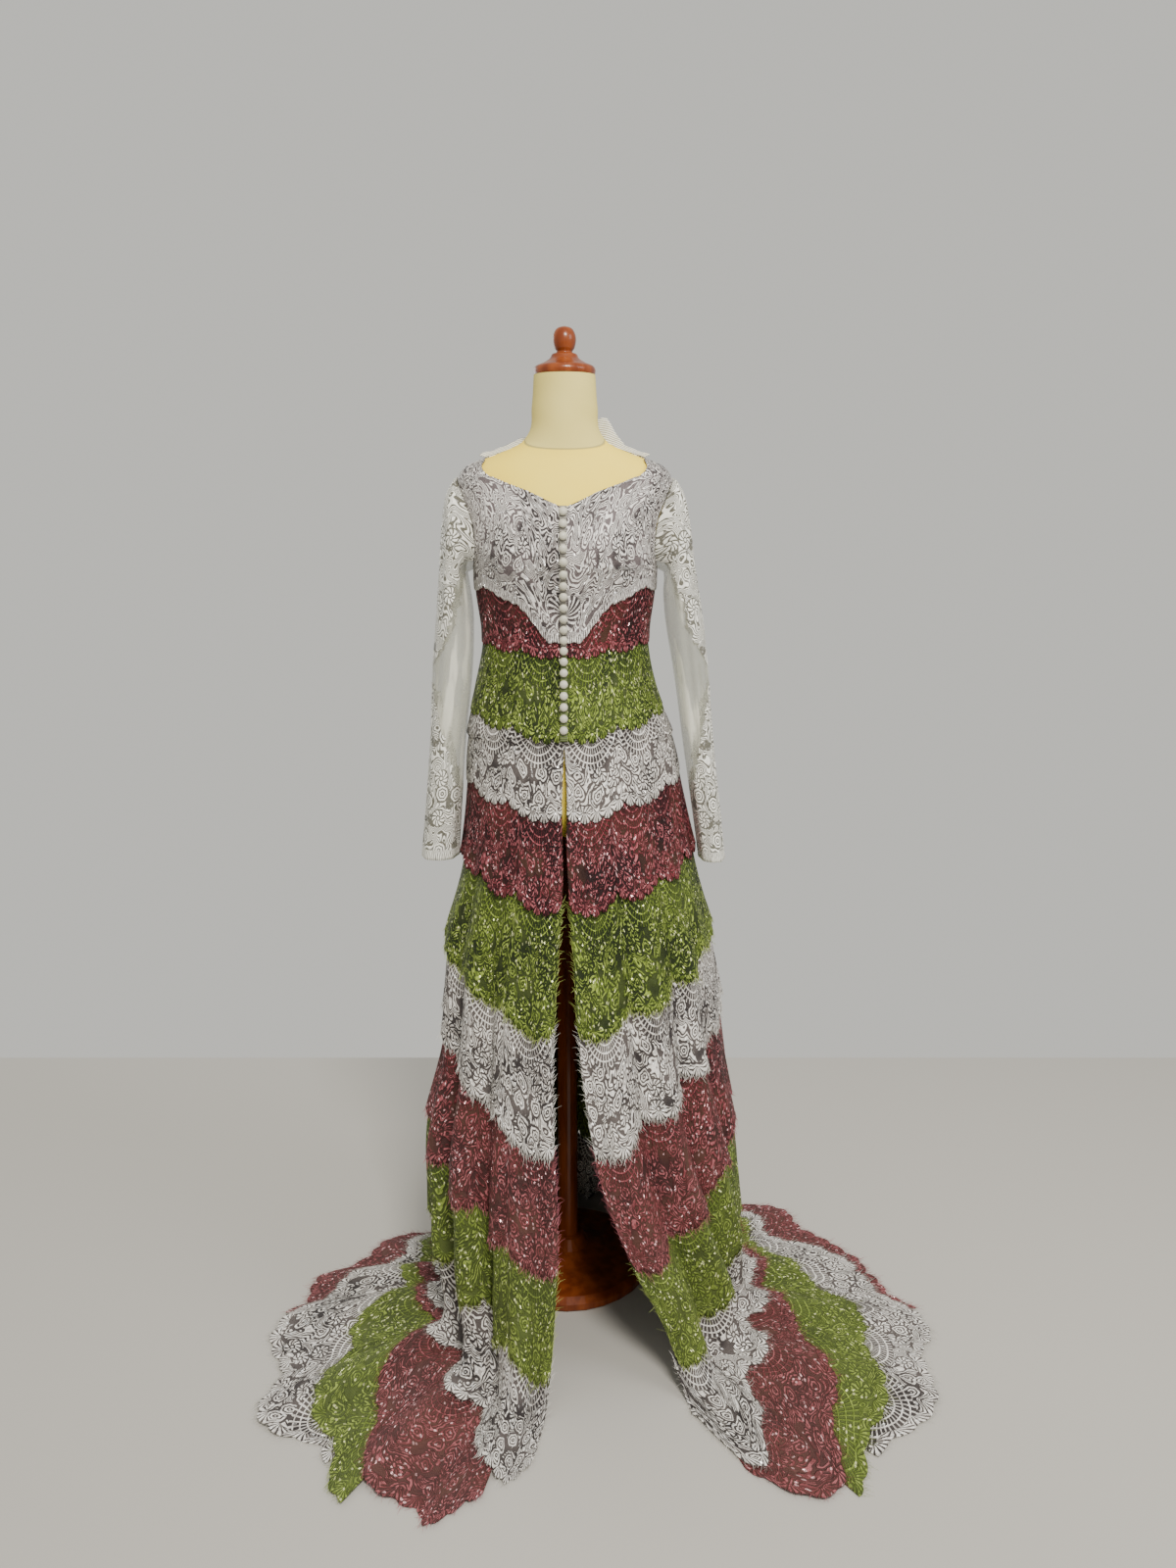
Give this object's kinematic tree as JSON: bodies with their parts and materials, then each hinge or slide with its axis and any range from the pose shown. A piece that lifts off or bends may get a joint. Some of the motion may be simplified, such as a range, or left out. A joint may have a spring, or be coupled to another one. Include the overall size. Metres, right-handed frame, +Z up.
{
  "type": "kebaya gown on dress form",
  "caption": "Long open-fronted lace kebaya with tiered skirt and floor train, long net sleeves and a buttoned bodice, worn by a limbless dress form on a pole and round base",
  "frame": {"origin": "centre of the stand's underside, on the floor under the form's neck", "axes": "+Z up along the form's pole, -Y towards the front of the gown, +X towards the wearer's left side"},
  "size_m": [1.1005, 1.0486, 1.6402],
  "materials": {
    "white_lace": "corded ivory lace on a mauve-grey net",
    "rose_lace": "dusty crimson corded lace with glitter",
    "green_lace": "yellow-green corded lace with glitter",
    "white_net": "sheer ivory net with lace applied",
    "covered_button": "cream satin over a ball",
    "jersey": "pale cream cotton jersey",
    "varnished_wood": "glossy red-brown varnish"
  },
  "bodies": {
    "root": {"form_torso": "jersey", "form_cap": "varnished_wood", "form_pole": "varnished_wood", "form_base": "varnished_wood", "bodice_front_left": "white_lace", "bodice_front_right": "white_lace", "bodice_back": "white_lace", "sleeve_left": "white_net", "sleeve_right": "white_net", "collar": "white_lace", "placket": "white_lace", "tier_rose_1": "rose_lace", "tier_green_1": "green_lace", "tier_white_2": "white_lace", "tier_rose_2": "rose_lace", "tier_green_2": "green_lace", "tier_white_3": "white_lace", "tier_rose_3": "rose_lace", "tier_green_3": "green_lace", "tier_white_4": "white_lace", "tier_rose_4": "rose_lace", "tier_green_4": "green_lace", "tier_white_5": "white_lace", "tier_rose_5": "rose_lace", "button_01": "covered_button", "button_02": "covered_button", "button_03": "covered_button", "button_04": "covered_button", "button_05": "covered_button", "button_06": "covered_button", "button_07": "covered_button", "button_08": "covered_button", "button_09": "covered_button", "button_10": "covered_button", "button_11": "covered_button", "button_12": "covered_button", "button_13": "covered_button", "button_14": "covered_button", "button_15": "covered_button", "button_16": "covered_button", "button_17": "covered_button", "button_18": "covered_button", "button_19": "covered_button", "button_20": "covered_button"}
  },
  "joints": []
}
